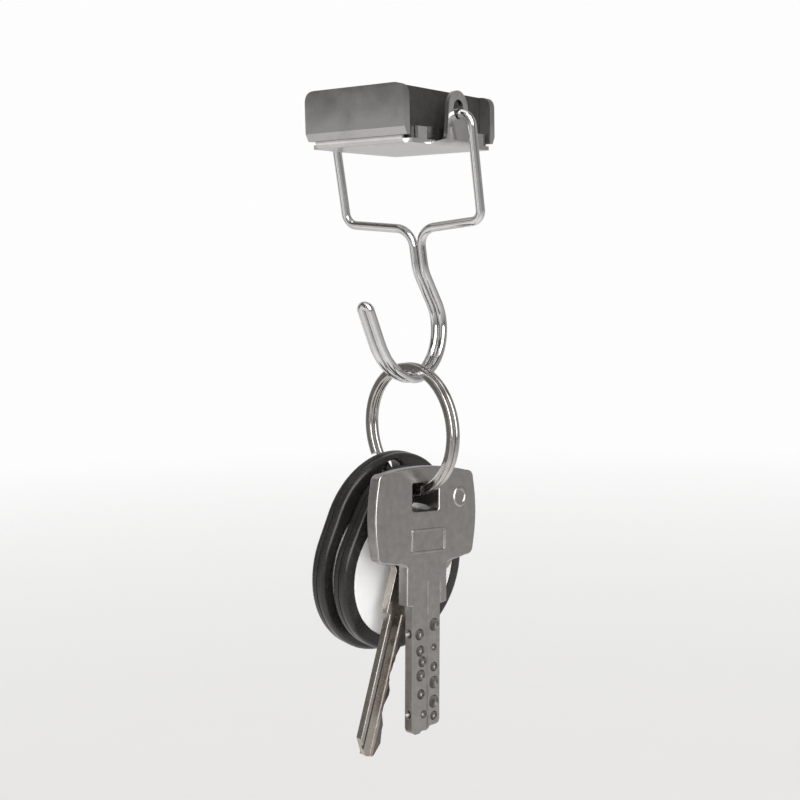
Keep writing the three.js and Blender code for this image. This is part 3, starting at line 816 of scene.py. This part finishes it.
def dress_kept_node(name, slot, edge):
    """Gives a CAD node its finish and eases its sharp edges."""
    obj = frame["nodes"][name]
    obj.data.materials.clear()
    obj.data.materials.append(FINISHES[slot])
    if not edge:
        return
    bevel = obj.modifiers.new("eased_edges", "BEVEL")
    bevel.width = edge * MM
    bevel.segments = 3
    bevel.limit_method = "ANGLE"
    bevel.angle_limit = math.radians(EASED_ANGLE)
    even_faces(obj, keep_sharp=False)


# ---------------------------------------------------------------- studio
# The floor lies far below the object and fades out with its distance from the middle.
FLOOR = {"drop": 0.6, "radius": 4, "fade": (0.6, 4), "glow": 0.5, "rough": 0.9}
# The walls' brightness from behind the lens round to the far side, and what the lens sees.
WALLS = [(0, (0.03, 0.02)), (0.55, (0.16, 0.02)), (1, (0.62, 0))]
SURROUND = 0.985
CAMERA = {"place": (0.14648, -0.22081, -0.03281), "lens": 54, "sensor": 36}
# Distances and sizes in metres, power in watts.
SOFTBOXES = {
    "key_light": {"azimuth": 52, "elevation": 22, "distance": 0.6, "size": (0.55, 0.7), "power": 5},
    "left_light": {"azimuth": -36, "elevation": -8, "distance": 0.6, "size": (0.34, 0.7), "power": 0.42},
    "side_light": {"azimuth": 122, "elevation": 8, "distance": 0.7, "size": (0.6, 0.8), "power": 0.36},
    "strip_light": {"azimuth": 2, "elevation": 0, "distance": 0.7, "size": (0.05, 0.9), "power": 0.3},
    "rim_light": {"azimuth": -95, "elevation": 5, "distance": 0.7, "size": (0.12, 0.9), "power": 0.4},
    "top_light": {"azimuth": 20, "elevation": 75, "distance": 0.7, "size": (0.6, 0.6), "power": 1.5},
}
TARGET = Vector((0, 0, (cad_box[0].z + cad_box[1].z) / 2))
VIEW = {"azimuth": 33.96, "down": 7.2, "roll": -1.2}


def direction(azimuth, elevation):
    """A direction away from the object: azimuth 0 is the side of -Y, 90 the side of +X."""
    a, e = math.radians(azimuth), math.radians(elevation)
    return Vector((math.sin(a) * math.cos(e), -math.cos(a) * math.cos(e), math.sin(e)))


def softbox(name, azimuth, elevation, distance, size, power):
    """A rectangular light that looks at the middle of the object."""
    light = bpy.data.lights.new(name, "AREA")
    light.shape = "RECTANGLE"
    light.size, light.size_y = size
    light.energy = power
    lamp = bpy.data.objects.new(name, light)
    bpy.context.scene.collection.objects.link(lamp)
    away = direction(azimuth, elevation)
    turn = away.to_track_quat("Z", "Y").to_matrix().to_4x4()
    lamp.matrix_world = Matrix.Translation(TARGET + away * distance) @ turn


def make_world():
    """A light surround for the lens and softly shaded walls for reflections."""
    world = bpy.data.worlds.new("studio")
    bpy.context.scene.world = world
    world.use_nodes = True
    tree = world.node_tree
    background = tree.nodes["Background"]
    coordinates = tree.nodes.new("ShaderNodeTexCoord")
    facing = tree.nodes.new("ShaderNodeVectorMath")
    facing.operation = "DOT_PRODUCT"
    facing.inputs[1].default_value = -direction(VIEW["azimuth"], 0)
    tree.links.new(coordinates.outputs["Generated"], facing.inputs[0])
    walls = tree.nodes.new("ShaderNodeValToRGB")
    stops = walls.color_ramp.elements
    stops.new(WALLS[1][0])
    for stop, (position, (value, warmth)) in zip(stops, WALLS):
        stop.position = position
        stop.color = (*grey(value, warmth), 1)
    spread = tree.nodes.new("ShaderNodeMapRange")
    spread.inputs["From Min"].default_value = -1
    tree.links.new(facing.outputs["Value"], spread.inputs["Value"])
    tree.links.new(spread.outputs["Result"], walls.inputs["Fac"])
    rays = tree.nodes.new("ShaderNodeLightPath")
    choice = tree.nodes.new("ShaderNodeMix")
    choice.data_type = "RGBA"
    choice.inputs["B"].default_value = (*grey(SURROUND), 1)
    tree.links.new(rays.outputs["Is Camera Ray"], choice.inputs["Factor"])
    tree.links.new(walls.outputs["Color"], choice.inputs["A"])
    tree.links.new(choice.outputs["Result"], background.inputs["Color"])


def make_floor():
    """A pale round floor that gives the background its lower shade."""
    bm = bmesh.new()
    bmesh.ops.create_circle(bm, cap_ends=True, segments=96, radius=FLOOR["radius"])
    mesh = mesh_of(bm)
    floor = bpy.data.objects.new("floor", mesh)
    floor.location = (0, 0, cad_box[0].z - FLOOR["drop"])
    bpy.context.scene.collection.objects.link(floor)
    finish = Finish("pale_floor", Roughness=FLOOR["rough"], Emission_Strength=FLOOR["glow"])
    finish.shader.inputs["Emission Color"].default_value = (*grey(1, 0.01), 1)
    drift = finish.remap(finish.noise(0.01, 2), NOISE_SPAN, 0, 1)
    finish.colour(drift, grey(0.84, 0.005), grey(0.82, 0.008))
    place = finish.add("ShaderNodeTexCoord")
    reach = finish.add("ShaderNodeVectorMath")
    reach.operation = "LENGTH"
    finish.link(place.outputs["Object"], reach.inputs[0])
    faded = finish.remap(reach.outputs["Value"], FLOOR["fade"], 1, 0)
    finish.link(faded, finish.shader.inputs["Alpha"])
    mesh.materials.append(finish.material)


def make_camera():
    camera = bpy.data.objects.new("camera", bpy.data.cameras.new("camera"))
    camera.data.lens = CAMERA["lens"]
    camera.data.sensor_width = CAMERA["sensor"]
    bpy.context.scene.collection.objects.link(camera)
    turn = Matrix.Rotation(math.radians(VIEW["azimuth"]), 4, "Z")
    turn = turn @ Matrix.Rotation(math.radians(90 - VIEW["down"]), 4, "X")
    turn = turn @ Matrix.Rotation(math.radians(VIEW["roll"]), 4, "Z")
    camera.matrix_world = Matrix.Translation(CAMERA["place"]) @ turn
    bpy.context.scene.camera = camera


make_hook()
make_ring()
make_dimple_key()
make_cut_key()
for fob_name, fob_size in FOBS.items():
    make_fob(fob_name, fob_size)
for node_name, (node_slot, node_edge) in KEPT.items():
    dress_kept_node(node_name, node_slot, node_edge)

make_world()
make_floor()
make_camera()
for light_name, light_facts in SOFTBOXES.items():
    softbox(light_name, **light_facts)
bpy.context.scene.view_settings.view_transform = "Standard"
